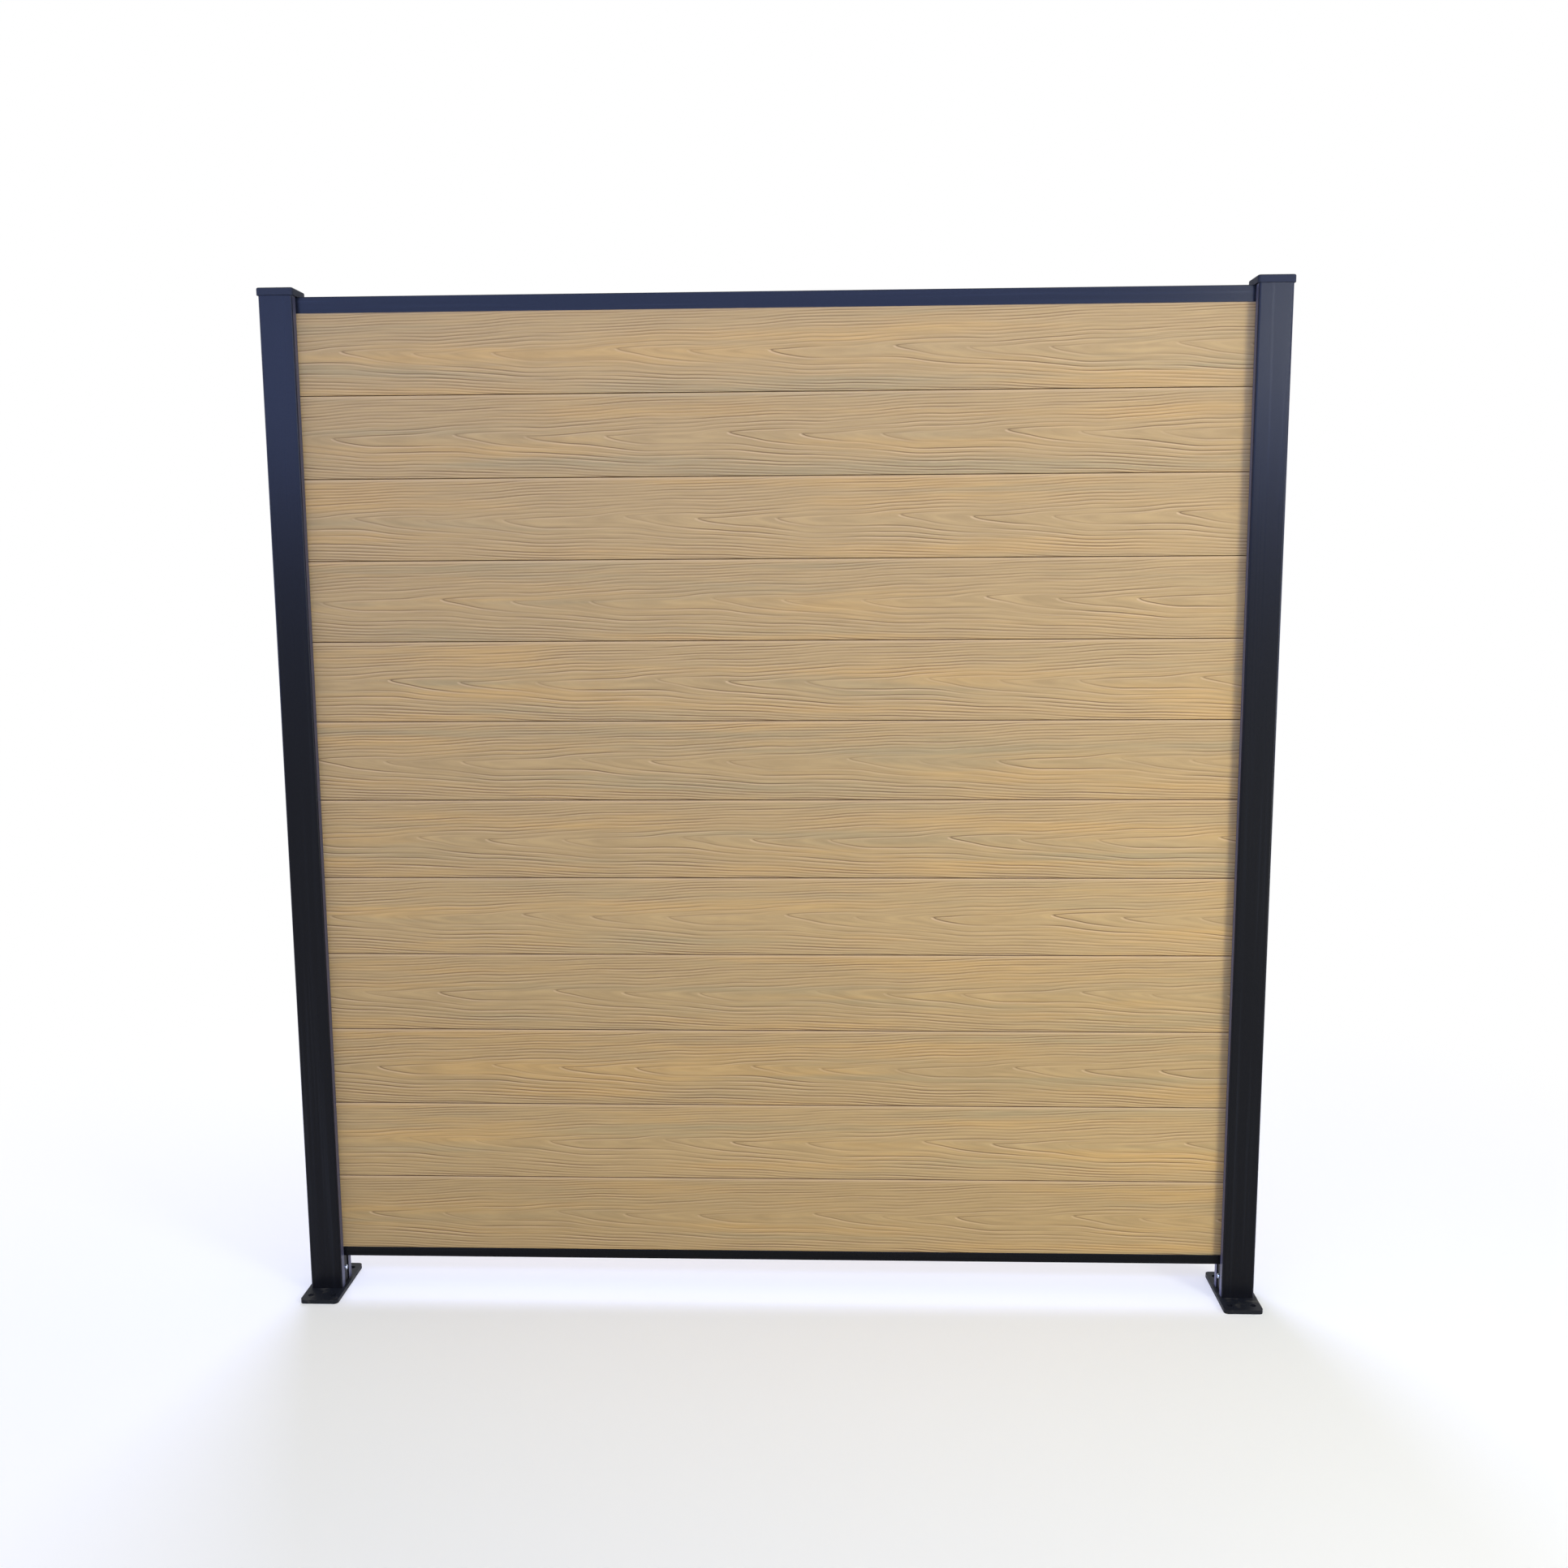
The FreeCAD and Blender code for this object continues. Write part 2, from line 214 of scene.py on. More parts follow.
def ring_mesh(name, points):
    """Mesh of closed shells: points[s, k, i] is point i of ring k of shell s. Neighbouring rings are
    joined by quads, and the first and last rings of a shell are closed by flat faces."""
    shells, rings, around = points.shape[:3]
    here = np.arange(shells * rings * around).reshape(shells, rings, around)
    after = np.roll(here, -1, axis=2)
    quads = np.stack([here[:, :-1], after[:, :-1], after[:, 1:], here[:, 1:]], -1)
    ends = np.stack([here[:, 0, ::-1], here[:, -1]], 1)
    corners = np.concatenate([quads.ravel(), ends.ravel()])
    starts = np.concatenate([np.arange(0, quads.size, 4), quads.size + np.arange(0, ends.size, around)])
    mesh = bpy.data.meshes.new(name)
    mesh.vertices.add(here.size)
    mesh.vertices.foreach_set("co", points.astype(np.float32).ravel())
    mesh.loops.add(corners.size)
    mesh.loops.foreach_set("vertex_index", corners.astype(np.int32))
    mesh.polygons.add(starts.size)
    mesh.polygons.foreach_set("loop_start", starts.astype(np.int32))
    mesh.update(calc_edges=True)
    mesh.shade_smooth()
    mesh.set_sharp_from_angle(angle=SHARP_ANGLE)
    return mesh


def show(mesh, material):
    """Puts a mesh into the scene as a piece of one material."""
    piece = bpy.data.objects.new(mesh.name, mesh)
    bpy.context.scene.collection.objects.link(piece)
    mesh.materials.append(material)
    return piece


def stand_for(piece, node):
    """Puts a piece in place of a CAD node: hides the node and puts the piece on the root body."""
    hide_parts(node)
    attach(piece, BODY)


def dress(names, material):
    """Gives CAD nodes a finish."""
    for name in names:
        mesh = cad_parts[name].data
        mesh.materials.clear()
        mesh.materials.append(material)


def both(name):
    """The left node and the right node of a kind."""
    return [f"{side}_{name}" for side in SIDES]


def add_node(tree, kind, inputs=None, **settings):
    """Adds a node: settings are its own properties, and inputs are values or outputs to link."""
    node = tree.nodes.new(kind)
    for name, value in settings.items():
        setattr(node, name, value)
    for name, value in (inputs or {}).items():
        if isinstance(value, bpy.types.NodeSocket):
            tree.links.new(value, node.inputs[name])
        else:
            node.inputs[name].default_value = value
    return node


def new_material(name):
    """A material that is still empty, its tree, and the place on the object that its patterns follow."""
    material = bpy.data.materials.new(name)
    material.use_nodes = True
    tree = material.node_tree
    tree.nodes.clear()
    return material, tree, add_node(tree, "ShaderNodeTexCoord").outputs["Object"]


def rgba(value):
    """A colour with full cover, as a colour socket takes it."""
    return (*value, 1.0)


def calc(tree, operation, *values):
    """One step of arithmetic on numbers or outputs."""
    return add_node(tree, "ShaderNodeMath", dict(enumerate(values)), operation=operation).outputs[0]


def mix(tree, share, first, second, blend="MIX"):
    """A colour that goes from the first to the second as the share goes from 0 to 1. Inputs 6 and 7 and
    output 2 of the node are the ones for colours."""
    return add_node(
        tree, "ShaderNodeMix", {0: share, 6: first, 7: second}, data_type="RGBA", blend_type=blend
    ).outputs[2]


def remap(tree, value, source=(0.0, 1.0), target=(0.0, 1.0), curve="LINEAR"):
    """Carries a value from a source range into a target range, along a line or a soft curve."""
    ends = {"From Min": source[0], "From Max": source[1], "To Min": target[0], "To Max": target[1]}
    return add_node(
        tree, "ShaderNodeMapRange", {"Value": value, **ends}, interpolation_type=curve
    ).outputs["Result"]


def bumped(tree, height, depth_mm, strength, invert=False):
    """The normal of a surface that a pattern lifts by up to the given millimetres."""
    inputs = {"Height": height, "Distance": depth_mm * MM, "Strength": strength}
    return add_node(tree, "ShaderNodeBump", inputs, invert=invert).outputs["Normal"]


def surfaced(material, tree, inputs):
    """Ends a material with its one surface shader."""
    surface = add_node(tree, "ShaderNodeBsdfPrincipled", inputs).outputs["BSDF"]
    add_node(tree, "ShaderNodeOutputMaterial", {"Surface": surface})
    return material


def noise(tree, place, detail):
    """Soft noise, whose blots are about one unit wide."""
    inputs = {"Vector": place, "Scale": 1.0, "Detail": detail}
    return add_node(tree, "ShaderNodeTexNoise", inputs).outputs["Fac"]


def blots(tree, place, size, detail):
    """Soft noise whose blots have the given size in millimetres along each axis."""
    scale = [1 / (extent * MM) for extent in size]
    spread = add_node(tree, "ShaderNodeMapping", {"Vector": place, "Scale": scale}).outputs["Vector"]
    return noise(tree, spread, detail)


EDGE_POINTS = 5


def plank_half(settings, half, height):
    """One half of a board's outline, from the groove up over the face to the tongue, as depth and
    height: straight runs, a quarter circle at the lip and at the shoulder, and even rows up the face."""
    shoulder = BOARD_COVER - settings.seam_gap
    tongue, groove = settings.tongue_width / 2, settings.groove_width / 2
    lip, round_top = settings.lip_radius, settings.shoulder_radius
    quarter = np.linspace(0, math.pi / 2, EDGE_POINTS)
    flat = shoulder - round_top - lip
    rows = lip + np.linspace(0, flat, round(flat / settings.row_step))
    depths = [
        [groove, groove], half - lip + lip * np.sin(quarter[:-1]), np.full(len(rows), half),
        half - round_top + round_top * np.cos(quarter[1:]), [tongue, tongue],
    ]
    heights = [
        [settings.groove_depth, 0], lip - lip * np.cos(quarter[:-1]), rows,
        shoulder - round_top + round_top * np.sin(quarter[1:]), [shoulder, height],
    ]
    return np.concatenate(depths), np.concatenate(heights)


# waves that lift the rings: height in millimetres, waves in a roller's turn and up the face, and start
LIFT_WAVES = ((2.6, 1, 0.5, 0.3), (1.6, 2, -0.8, 1.7), (0.55, 4, 1.1, 4.1), (0.22, 7, -1.9, 2.2))
# waves that slide the arches: share of a roller's turn, waves in that turn, and start
SLIDE_WAVES = ((0.05, 1, 2.0), (0.025, 2, 0.6))
EDGE_LIFT_SHARE = 0.4
HEART_SHARE = 0.5
UPPER_POWER = 1.22
LOWER_POWER = 1.7


def ring_count(settings, x, z, shoulder):
    """Which growth ring passes through a point of the face. Rings are counted from the heart of the
    board as a power of the height over or under it, less the arches passed along the board. Waves that
    close on the roller's repeat lift the rings, less near the board's edges, and slide the arches."""
    turn = FULL_TURN * x / settings.roller_repeat
    tall = FULL_TURN * z / shoulder
    lift = MM * sum(
        height * np.sin(waves * turn + slant * tall + start) for height, waves, slant, start in LIFT_WAVES
    )
    slide = sum(share * np.sin(waves * turn + start) for share, waves, start in SLIDE_WAVES)
    calm = EDGE_LIFT_SHARE + (1 - EDGE_LIFT_SHARE) * np.sin(tall / 2) ** 2
    rise = z + calm * lift - HEART_SHARE * shoulder
    above = (np.maximum(rise, 0) / settings.upper_ring) ** UPPER_POWER
    below = (np.maximum(-rise, 0) / settings.lower_ring) ** LOWER_POWER
    return above + below - settings.arches * (x / settings.roller_repeat + slide)


def ring_slope(settings, x, z, shoulder):
    """Rings per metre across the grain, and the share of that slope that points up the face."""
    step = MM / 4
    up = ring_count(settings, x, z + step, shoulder) - ring_count(settings, x, z - step, shoulder)
    along = ring_count(settings, x + step, z, shoulder) - ring_count(settings, x - step, z, shoulder)
    steepness = np.hypot(up, along)
    return steepness / (2 * step), up / steepness


# each ring takes one of so many strengths, and the rest are shares of the full depth
RING_KINDS = 64
PRESS_MEAN = 0.9
PRESS_OVER_HEART = -0.1
FAINTEST_RING = 0.4
WAVE_MEAN = 0.7
WAVE_SWING = 0.5
WAVE_LEAST = 0.3


def ring_press(settings, rings, tilt, x, rng):
    """How hard each ring is pressed: a strength of its own, times a wave along it from its own start,
    and harder under the heart than over it."""
    chance = rng.uniform(size=(2, RING_KINDS))[:, np.round(rings).astype(int) % RING_KINDS]
    wave = WAVE_MEAN + WAVE_SWING * np.sin(FULL_TURN * (x / settings.fade_length + chance[1]))
    own = FAINTEST_RING + (1 - FAINTEST_RING) * chance[0]
    return (PRESS_MEAN + PRESS_OVER_HEART * tilt) * own * np.clip(wave, WAVE_LEAST, 1)


def emboss(settings, rings, pace, press):
    """Depth of the embossing: a bell-shaped groove along each whole ring."""
    offset = (rings - np.round(rings)) / pace
    return settings.emboss_depth * press * np.exp(-((offset / settings.emboss_width) ** 2))


# rows of the mesh over which the embossing fades out at the edges of a face
FADE_ROWS = 3


def embossed_board(settings, node, rng):
    """A board's outline carried along the fence, with the grain pressed into its two faces."""
    low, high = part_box(node)
    half, height = (high.y - low.y) / 2, high.z - low.z
    shoulder = BOARD_COVER - settings.seam_gap
    depth, level = plank_half(settings, half, height)
    y = np.concatenate([depth, -depth[::-1]])
    z = np.concatenate([level, level[::-1]])
    x = np.linspace(low.x, high.x, round((high.x - low.x) / settings.column_step))
    grid = (len(x), len(z))
    start = np.where(y < 0, *rng.uniform(0, settings.roller_repeat, 2))
    run, rise = x[:, None] + start, np.broadcast_to(z, grid)
    rings = ring_count(settings, run, rise, shoulder)
    pace, tilt = ring_slope(settings, run, rise, shoulder)
    press = ring_press(settings, rings, tilt, run, rng)
    edge = np.minimum(z - settings.lip_radius, shoulder - settings.shoulder_radius - z)
    ramp = np.clip(edge / (FADE_ROWS * settings.row_step), 0, 1)
    fade = np.where(np.isclose(np.abs(y), half), ramp, 0)
    sunk = fade * emboss(settings, rings, pace, press)
    points = np.stack([np.broadcast_to(x[:, None], grid), y - np.sign(y) * sunk, low.z + rise], -1)
    mesh = ring_mesh("embossed_" + node, points[None])
    # crest: 1 at the shoulder, down to 0 a crest width below it; it places the painted highlight under
    # each seam and the painted shade in the seam
    crest = np.broadcast_to(np.clip(1 - (shoulder - z) / settings.crest_width, 0, 1), grid)
    batch = np.full(grid, rng.uniform())
    for name, values in zip(MARKS, (rings, pace, tilt, press, crest, batch)):
        attribute = mesh.attributes.new(name, "FLOAT", "POINT")
        attribute.data.foreach_set("value", values.astype(np.float32).ravel())
    return mesh


def grain_lines(tree, settings, mark):
    """How far each point is in a ring's groove, and in the painted highlight under that groove, from 0 to
    1.
    The highlight is a pale band a rim drop below the groove, where its lower wall would catch light from
    above.
    """
    offset = calc(tree, "SUBTRACT", mark["ring"], calc(tree, "ROUND", mark["ring"]))
    distance = calc(tree, "DIVIDE", offset, mark["pace"])
    from_rim = calc(tree, "MULTIPLY_ADD", distance, mark["tilt"], settings.rim_drop)
    lines = []
    for reach, width in ((distance, settings.line_width), (from_rim, settings.rim_width)):
        line = remap(tree, calc(tree, "ABSOLUTE", reach), (0.0, width), (1.0, 0.0), SOFT)
        lines.append(calc(tree, "MULTIPLY", line, mark["press"]))
    return lines


FIBRE_LENGTH_MM = 90
FIBRES_IN_RING = 3.0
FIBRE_DETAIL = 3.0
# moves the patterns of two boards apart
BATCH_SHIFT = 9.0


def grain_fibres(tree, mark, place):
    """Fibres that follow the rings: soft noise, stretched along the board and over a third of a ring.
    Real ones are about 0.3 mm thick. These are some 2 mm thick and 90 mm long, to show in the render."""
    along = add_node(tree, "ShaderNodeSeparateXYZ", {0: place}).outputs["X"]
    run = calc(tree, "DIVIDE", along, FIBRE_LENGTH_MM * MM)
    across = calc(tree, "MULTIPLY", mark["ring"], FIBRES_IN_RING)
    own = calc(tree, "MULTIPLY", mark["batch"], BATCH_SHIFT)
    flow = add_node(tree, "ShaderNodeCombineXYZ", {"X": run, "Y": across, "Z": own}).outputs["Vector"]
    return noise(tree, flow, FIBRE_DETAIL)


# streaks: millimetres along, across and up the fence, and the noise at which they start and are full
AMBER_STREAK, AMBER_NOISE = (600, 1000, 38), (0.46, 0.72)
GREY_STREAK, GREY_NOISE = (750, 700, 33), (0.5, 0.76)
STREAK_DETAIL = 3.0


def melt_streaks(tree, settings, mark, place):
    """Colour of the melt: long amber and grey streaks, which start afresh on each board."""
    apart = add_node(tree, "ShaderNodeCombineXYZ", {"Y": mark["batch"]}).outputs["Vector"]
    shift = (BATCH_SHIFT, BATCH_SHIFT, BATCH_SHIFT)
    own = add_node(
        tree, "ShaderNodeVectorMath", {0: apart, 1: shift, 2: place}, operation="MULTIPLY_ADD"
    ).outputs["Vector"]
    warm = remap(tree, blots(tree, own, AMBER_STREAK, STREAK_DETAIL), AMBER_NOISE, curve=SOFT)
    cold = remap(tree, blots(tree, own, GREY_STREAK, STREAK_DETAIL), GREY_NOISE, curve=SOFT)
    ambered = mix(tree, warm, rgba(settings.body), rgba(settings.amber))
    return mix(tree, cold, ambered, rgba(settings.grey))


# in this skin and the finishes after it, a pair of ranges says which values turn into which
FIBRE_NOISE, FIBRE_SHADE = (0.3, 0.7), (0.89, 1.11)
BATCH_SHADE = (0.97, 1.03)
# how strongly the painted highlight under grooves and shoulders shows, and the crest at which the painted
# shade in a seam starts and how much groove colour it takes
PAINTED_HIGHLIGHT_COVER = 0.8
SEAM_CREST, SEAM_SHADE_SHARE = (0.8, 1.0), (0.0, 0.8)
FIBRE_RELIEF = -0.3
SKIN_RELIEF_MM, SKIN_BUMP = 0.4, 0.8
SKIN_ROUGH, SKIN_GLOSS = 0.62, 0.12


def composite_skin(settings):
    """Co-extruded wood-plastic composite: a matt polymer skin that is streaked in the melt and
    embossed by a roller. The eye sees soft amber and grey streaks, fine fibres and thin dark rings.
    Under each ring is a painted highlight, a paler band where the groove's lower wall would catch light
    from above; under each seam is another painted highlight for the lit rounding of the shoulder, and in
    the seam itself painted shade in the groove colour."""
    material, tree, place = new_material("Embossed wood-plastic composite")
    mark = {}
    for name in MARKS:
        mark[name] = add_node(tree, "ShaderNodeAttribute", attribute_name=name).outputs["Fac"]
    groove, rim = grain_lines(tree, settings, mark)
    fibre = grain_fibres(tree, mark, place)
    shade = remap(tree, fibre, FIBRE_NOISE, FIBRE_SHADE)
    tone = remap(tree, mark["batch"], target=BATCH_SHADE)
    level = calc(tree, "MULTIPLY", shade, tone)
    skin = mix(tree, 1.0, melt_streaks(tree, settings, mark, place), level, "MULTIPLY")
    lined = mix(tree, groove, skin, rgba(settings.groove))
    # painted highlight: the rim under each groove and the band under each shoulder lighten the colour
    # towards the rim colour
    painted_highlight = calc(tree, "MAXIMUM", rim, mark["crest"])
    lightened = mix(tree, calc(tree, "MULTIPLY", painted_highlight, PAINTED_HIGHLIGHT_COVER), lined, rgba(settings.rim))
    # painted shade: the top of each shoulder, in the seam, takes the groove colour
    seam_shade = remap(tree, mark["crest"], SEAM_CREST, SEAM_SHADE_SHARE, SOFT)
    seam_shaded = mix(tree, seam_shade, lightened, rgba(settings.groove))
    relief = calc(tree, "MULTIPLY_ADD", fibre, FIBRE_RELIEF, groove)
    return surfaced(material, tree, {
        "Base Color": seam_shaded,
        "Roughness": SKIN_ROUGH,
        "Specular IOR Level": SKIN_GLOSS,
        "Normal": bumped(tree, relief, SKIN_RELIEF_MM, SKIN_BUMP, invert=True),
    })


DRAW_LINE_MM, DRAW_LENGTH_MM = 6, 700
DRAW_NOISE = (0.5, 0.75)
COAT_DETAIL = 2.0
# pebbles of the film are about 0.3 mm across: drawn at 1.2 mm, to show in the render
PEBBLE_MM = 1.2
PEBBLE_DEPTH_MM, PEBBLE_BUMP = 0.04, 0.6
PEBBLE_ROUGH = (0.23, 0.35)
RUBBED_ROUGH = -0.06
COAT_GLOSS = 0.105
# the bloom of the coat: none on the rails, whose flat tops it would wash out
UPRIGHT_BLOOM, RAIL_BLOOM = 0.8, 0.0
BLOOM_ROUGH = 0.4


def powder_coat(name, settings, run, bloom):
    """Fine-textured polyester powder coat: a dark, matt, slightly pebbled film, with faint lines where
    the coat is rubbed along the run of the extrusion, and a pale bloom where it is seen at a slant."""
    material, tree, place = new_material(name)
    size = [DRAW_LINE_MM, DRAW_LINE_MM, DRAW_LINE_MM]
    size[run] = DRAW_LENGTH_MM
    lightened = remap(tree, blots(tree, place, size, COAT_DETAIL), DRAW_NOISE, curve=SOFT)
    pebble = blots(tree, place, (PEBBLE_MM, PEBBLE_MM, PEBBLE_MM), COAT_DETAIL)
    grainy = remap(tree, pebble, target=PEBBLE_ROUGH)
    return surfaced(material, tree, {
        "Base Color": mix(tree, lightened, rgba(settings.powder), rgba(settings.powder_worn)),
        "Roughness": calc(tree, "MULTIPLY_ADD", lightened, RUBBED_ROUGH, grainy),
        "Specular IOR Level": COAT_GLOSS,
        "Sheen Weight": bloom,
        "Sheen Roughness": BLOOM_ROUGH,
        "Sheen Tint": rgba(settings.haze),
        "Normal": bumped(tree, pebble, PEBBLE_DEPTH_MM, PEBBLE_BUMP),
    })


DUST_MM, DUST_DETAIL = 20, 5.0
DUST_NOISE, DUST_COVER = (0.52, 0.8), (0.0, 0.5)
DUST_ROUGH = (0.5, 0.85)
DUST_DEPTH_MM, DUST_BUMP = 0.1, 0.5
FOOT_GLOSS = 0.16


def coated_foot(settings):
    """Powder-coated steel plate: a dark film with blots of pale dust that has settled on it."""
    material, tree, place = new_material("Dusty powder-coated steel")
    blot = blots(tree, place, (DUST_MM, DUST_MM, DUST_MM), DUST_DETAIL)
    dusty = remap(tree, blot, DUST_NOISE, DUST_COVER, SOFT)
    return surfaced(material, tree, {
        "Base Color": mix(tree, dusty, rgba(settings.steel_coat), rgba(settings.dust)),
        "Roughness": remap(tree, dusty, target=DUST_ROUGH),
        "Specular IOR Level": FOOT_GLOSS,
        "Normal": bumped(tree, blot, DUST_DEPTH_MM, DUST_BUMP),
    })


MOULD_NOISE, MOULD_SHADE = (0.3, 0.7), (0.88, 1.1)
MOULD_DETAIL = 3.0
MOULD_BUMP = 0.6
MOULD_GLOSS = 0.18


def moulded(name, tint, rough, grain_mm, depth_mm):
    """Moulded polymer: one colour through, with the fine spark-eroded texture of its mould."""
    material, tree, place = new_material(name)
    grain = blots(tree, place, (grain_mm, grain_mm, grain_mm), MOULD_DETAIL)
    shade = remap(tree, grain, MOULD_NOISE, MOULD_SHADE)
    return surfaced(material, tree, {
        "Base Color": mix(tree, 1.0, rgba(tint), shade, "MULTIPLY"),
        "Roughness": rough,
        "Specular IOR Level": MOULD_GLOSS,
        "Normal": bumped(tree, grain, depth_mm, MOULD_BUMP),
    })


CLOUD_MM, CLOUD_DETAIL = 1.5, 3.0
ZINC_ROUGH = (0.22, 0.42)


def zinc_plate(settings):
    """Zinc-plated and passivated steel: a pale metal with faint bluish clouds in its colour and gloss."""
    material, tree, place = new_material("Zinc-plated steel")
    cloud = blots(tree, place, (CLOUD_MM, CLOUD_MM, CLOUD_MM), CLOUD_DETAIL)
    return surfaced(material, tree, {
        "Base Color": mix(tree, cloud, rgba(settings.zinc), rgba(settings.passivate)),
        "Metallic": 1.0,
        "Roughness": remap(tree, cloud, target=ZINC_ROUGH),
    })


def seen(tree):
    """1 where the camera or a reflection looks, and 0 where light is only gathered."""
    path = add_node(tree, "ShaderNodeLightPath").outputs
    glint = calc(tree, "MAXIMUM", path["Is Glossy Ray"], path["Is Transmission Ray"])
    return calc(tree, "MAXIMUM", path["Is Camera Ray"], glint)


# share of the shadow's reach within which the floor keeps all of it
SHADOW_CORE_SHARE = 1 / 3


def floor_finish(settings):
    """Pale matt floor. Where the camera or a reflection looks at it, a glow lifts it to white, and
    further out it is plain white, so that it keeps the object's shadow and runs into the backdrop."""
    material, tree, place = new_material("Pale studio floor")
    distance = add_node(tree, "ShaderNodeVectorMath", {0: place}, operation="LENGTH").outputs["Value"]
    reach = settings.shadow_reach
    share = remap(tree, distance, (SHADOW_CORE_SHARE * reach, reach), (1.0, 0.0), SOFT)
    matt = add_node(tree, "ShaderNodeBsdfDiffuse", {"Color": rgba(settings.floor)}).outputs[0]
    white = add_node(tree, "ShaderNodeEmission", {"Color": WHITE}).outputs[0]
    lift = {"Color": WHITE, "Strength": settings.floor_glow}
    glow = add_node(tree, "ShaderNodeEmission", lift).outputs[0]
    lifted = add_node(tree, "ShaderNodeAddShader", {0: matt, 1: glow}).outputs[0]
    pale = add_node(tree, "ShaderNodeMixShader", {0: share, 1: white, 2: lifted}).outputs[0]
    surface = add_node(tree, "ShaderNodeMixShader", {0: seen(tree), 1: matt, 2: pale}).outputs[0]
    add_node(tree, "ShaderNodeOutputMaterial", {"Surface": surface})
    return material


def backdrop(settings):
    """World: even studio light, and plain white where the camera or a reflection looks at it."""
    world = bpy.data.worlds.new("Studio")
    world.use_nodes = True
    tree = world.node_tree
    tree.nodes.clear()
    even = add_node(
        tree, "ShaderNodeBackground", {"Color": rgba(settings.key), "Strength": settings.ambient}
    ).outputs[0]
    white = add_node(tree, "ShaderNodeBackground", {"Color": WHITE, "Strength": 1.0}).outputs[0]
    surface = add_node(tree, "ShaderNodeMixShader", {0: seen(tree), 1: even, 2: white}).outputs[0]
    add_node(tree, "ShaderNodeOutputWorld", {"Surface": surface})
    return world


FLOOR_SIDES = 96


def disc_mesh(name, radius):
    """A flat round sheet: one face on points that stand evenly round a circle."""
    turn = np.linspace(0, FULL_TURN, FLOOR_SIDES, endpoint=False)
    rim = np.stack([radius * np.cos(turn), radius * np.sin(turn), np.zeros_like(turn)], -1)
    mesh = bpy.data.meshes.new(name)
    mesh.from_pydata(rim, [], [range(len(turn))])
    return mesh


def soft_light(name, watts, tint, lights=True, gleams=True):
    """A wide lamp. One that only gleams adds no light to matt finishes, and one that only lights isn't
    seen in glossy ones."""
    place, aim, width, height = LAMPS[name]
    lamp = bpy.data.lights.new(name, "AREA")
    lamp.shape = "RECTANGLE"
    lamp.size = width
    lamp.size_y = height
    lamp.energy = watts
    lamp.color = tint
    light = bpy.data.objects.new(name, lamp)
    light.location = place
    light.visible_diffuse = lights
    light.visible_glossy = gleams
    light.rotation_euler = (Vector(aim) - Vector(place)).to_track_quat("-Z", "Y").to_euler()
    bpy.context.scene.collection.objects.link(light)


def aimed_camera(settings):
    """A level camera at the eye point, then rolled, pitched down and turned."""
    pitch, roll, turn = settings.camera_turn
    camera = bpy.data.objects.new("camera", bpy.data.cameras.new("camera"))
    camera.data.sensor_width = settings.sensor
    camera.data.lens = settings.lens
    camera.matrix_world = (
        Matrix.Translation(settings.camera_place)
        @ Matrix.Rotation(-turn, 4, "Z")
        @ Matrix.Rotation(math.pi / 2 - pitch, 4, "X")
        @ Matrix.Rotation(roll, 4, "Z")
    )
    bpy.context.scene.collection.objects.link(camera)
    return camera


SCREW_SIDES = 48
PITCH_RINGS = 8
FIRST_THREAD_SHARE = 0.1
BLUNT_TIP_SHARE = 0.1
CROWN_POINTS = 7
LOBES = 6
LOBE_SHARE = 0.13
RECESS_TAPER = 0.94


def screw_rings(settings, seat, reach, way):
    """A pan-head screw as rings round its axis, from its point to its recess. The shank's radius rises
    and falls once in each pitch, a turn later for each turn round. Then come the head's seat, side and
    crown, and a recess whose radius swings six times round. The screw points along X, the given way."""
    turn = np.linspace(0, FULL_TURN, SCREW_SIDES, endpoint=False)
    first = FIRST_THREAD_SHARE * settings.pitch
    depth = np.linspace(reach, first, round(PITCH_RINGS * reach / settings.pitch))
    along_thread = (depth[:, None] / settings.pitch + turn / FULL_TURN) % 1
    ridge = 1 - np.abs(2 * along_thread - 1)
    point = np.clip((reach - depth) / settings.tip, BLUNT_TIP_SHARE, 1)[:, None]
    thread = point * (settings.root + (settings.shank - settings.root) * ridge)
    quarter = np.linspace(0, math.pi / 2, CROWN_POINTS)
    dome = settings.head - settings.crown * (1 - np.cos(quarter))
    lobes = settings.recess * (1 + LOBE_SHARE * np.cos(LOBES * turn))
    round_radii = np.concatenate([[settings.shank, settings.head], dome])[:, None] * np.ones_like(turn)
    radius = np.concatenate([thread, round_radii, [lobes, RECESS_TAPER * lobes]])
    rise = settings.crown * np.sin(quarter) - settings.crown
    top = np.array([0, -settings.recess_depth])
    level = np.concatenate([depth, [0, 0], -settings.head_height - rise, -settings.head_height - top])
    x = seat[0] + way * np.broadcast_to(level[:, None], radius.shape)
    return np.stack([x, seat[1] - way * radius * np.cos(turn), seat[2] + radius * np.sin(turn)], -1)


class FENCE_OT_boards(bpy.types.Operator):
    """Builds the embossed boards in place of the plain ones"""

    bl_idname = "fence.boards"
    bl_label = "Embossed boards"

    def execute(self, context):
        settings = context.scene.fence_boards
        material = composite_skin(settings)
        rng = np.random.default_rng(SEED)
        for node in BOARD_NODES:
            stand_for(show(embossed_board(settings, node, rng), material), node)
        return {"FINISHED"}


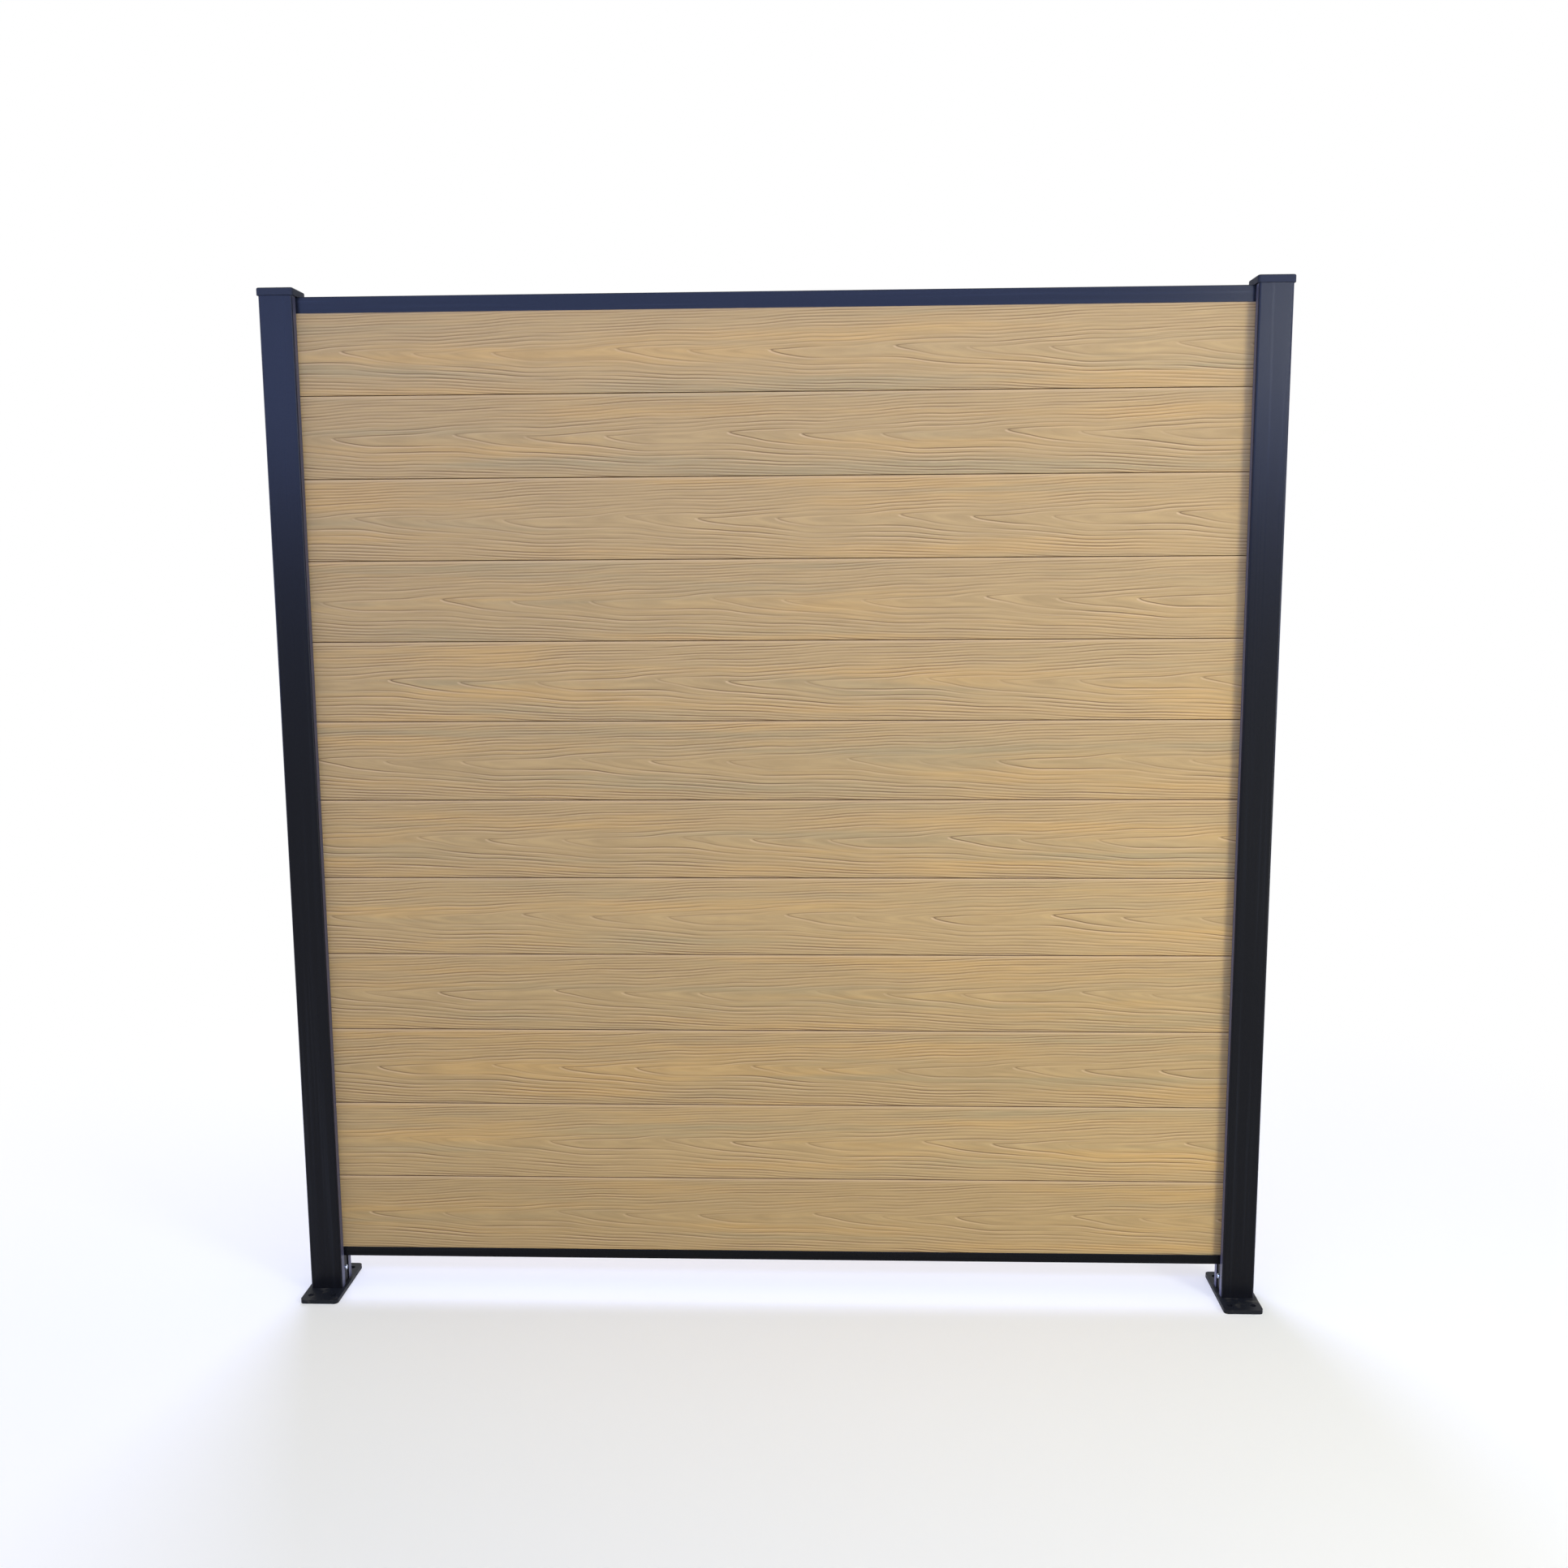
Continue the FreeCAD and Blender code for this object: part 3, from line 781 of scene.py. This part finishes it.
class FENCE_OT_metalwork(bpy.types.Operator):
    """Coats the posts, rails and slot covers"""

    bl_idname = "fence.metalwork"
    bl_label = "Posts, rails and covers"

    def execute(self, context):
        settings = context.scene.fence_coats
        upright = powder_coat("Powder-coated aluminium upright", settings, UP, UPRIGHT_BLOOM)
        rail = powder_coat("Powder-coated aluminium rail", settings, ALONG, RAIL_BLOOM)
        dress(both("post") + both("slot_cover"), upright)
        dress(["top_rail", "bottom_rail"], rail)
        return {"FINISHED"}


class FENCE_OT_caps(bpy.types.Operator):
    """Finishes the post caps"""

    bl_idname = "fence.caps"
    bl_label = "Post caps"

    def execute(self, context):
        settings = context.scene.fence_coats
        plastic = moulded("Moulded cap plastic", settings.cap, rough=0.7, grain_mm=1.5, depth_mm=0.03)
        dress(both("post_cap"), plastic)
        return {"FINISHED"}


class FENCE_OT_gaskets(bpy.types.Operator):
    """Finishes the slot gaskets"""

    bl_idname = "fence.gaskets"
    bl_label = "Slot gaskets"

    def execute(self, context):
        settings = context.scene.fence_coats
        rubber = moulded("EPDM rubber", settings.rubber, rough=0.75, grain_mm=2.0, depth_mm=0.03)
        dress(both("front_gasket") + both("back_gasket"), rubber)
        return {"FINISHED"}


class FENCE_OT_feet(bpy.types.Operator):
    """Finishes the post feet and the support blocks"""

    bl_idname = "fence.feet"
    bl_label = "Feet and blocks"

    def execute(self, context):
        settings = context.scene.fence_coats
        nylon = moulded("Moulded nylon", settings.nylon, rough=0.5, grain_mm=1.0, depth_mm=0.05)
        dress(both("post_foot"), coated_foot(settings))
        dress(both("support_block"), nylon)
        return {"FINISHED"}


class FENCE_OT_screws(bpy.types.Operator):
    """Builds the threaded screws in place of the plain ones"""

    bl_idname = "fence.screws"
    bl_label = "Screws"

    def execute(self, context):
        settings = context.scene.fence_screws
        material = zinc_plate(context.scene.fence_coats)
        low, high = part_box("support_screws")
        seat = high.x - settings.support_grip
        level = (low.z + high.z) / 2
        support = [
            screw_rings(settings, (side * seat, 0, level), settings.support_grip, side)
            for side in SIDES.values()
        ]
        low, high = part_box("foot_screws")
        seat = high.x - settings.head_height
        margin = (high.y - low.y) / 2
        levels = (low.z + margin, high.z - margin)
        foot = [
            screw_rings(settings, (side * seat, 0, level), settings.foot_grip, -side)
            for side in SIDES.values() for level in levels
        ]
        for node, rings in (("support_screws", support), ("foot_screws", foot)):
            piece = show(ring_mesh("threaded_" + node, np.array(rings)), material)
            stand_for(piece, node)
        return {"FINISHED"}


class FENCE_OT_stage(bpy.types.Operator):
    """Sets the camera, the lights, the floor and the backdrop"""

    bl_idname = "fence.stage"
    bl_label = "Studio"

    def execute(self, context):
        scene, settings = context.scene, context.scene.fence_stage
        scene.view_settings.view_transform = "Standard"
        scene.world = backdrop(settings)
        scene.camera = aimed_camera(settings)
        show(disc_mesh("floor", settings.floor_radius), floor_finish(settings))
        soft_light("key", settings.key_power, settings.key)
        soft_light("sky", settings.sky_power, settings.sky)
        soft_light("glow", settings.glow_power, settings.sky, lights=False)
        soft_light("glint", settings.glint_power, settings.key, lights=False)
        soft_light("left_edge", settings.edge_power, settings.sky, lights=False)
        soft_light("right_edge", settings.edge_power, settings.sky, lights=False)
        soft_light("top", settings.top_power, settings.key)
        soft_light("back", settings.back_power, settings.day, gleams=False)
        return {"FINISHED"}


OPERATORS = (
    FENCE_OT_stage, FENCE_OT_boards, FENCE_OT_metalwork, FENCE_OT_caps, FENCE_OT_gaskets, FENCE_OT_feet,
    FENCE_OT_screws,
)


class FENCE_PT_panel(bpy.types.Panel):
    """Lists the settings and the steps"""

    bl_idname = "FENCE_PT_panel"
    bl_label = "Fence panel"
    bl_space_type = "VIEW_3D"
    bl_region_type = "UI"
    bl_category = "Fence"

    def draw(self, context):
        for name, group in SETTINGS.items():
            box = self.layout.box()
            for key in group.__annotations__:
                box.prop(getattr(context.scene, name), key)
        for operator in OPERATORS:
            self.layout.operator(operator.bl_idname)


CLASSES = (*SETTINGS.values(), *OPERATORS, FENCE_PT_panel)


def register():
    for cls in CLASSES:
        bpy.utils.register_class(cls)
    for name, group in SETTINGS.items():
        setattr(bpy.types.Scene, name, PointerProperty(type=group))


def unregister():
    for name in SETTINGS:
        delattr(bpy.types.Scene, name)
    for cls in reversed(CLASSES):
        bpy.utils.unregister_class(cls)


def main():
    register()
    bpy.ops.fence.stage()
    bpy.ops.fence.boards()
    bpy.ops.fence.metalwork()
    bpy.ops.fence.caps()
    bpy.ops.fence.gaskets()
    bpy.ops.fence.feet()
    bpy.ops.fence.screws()


if __name__ == "__main__":
    main()
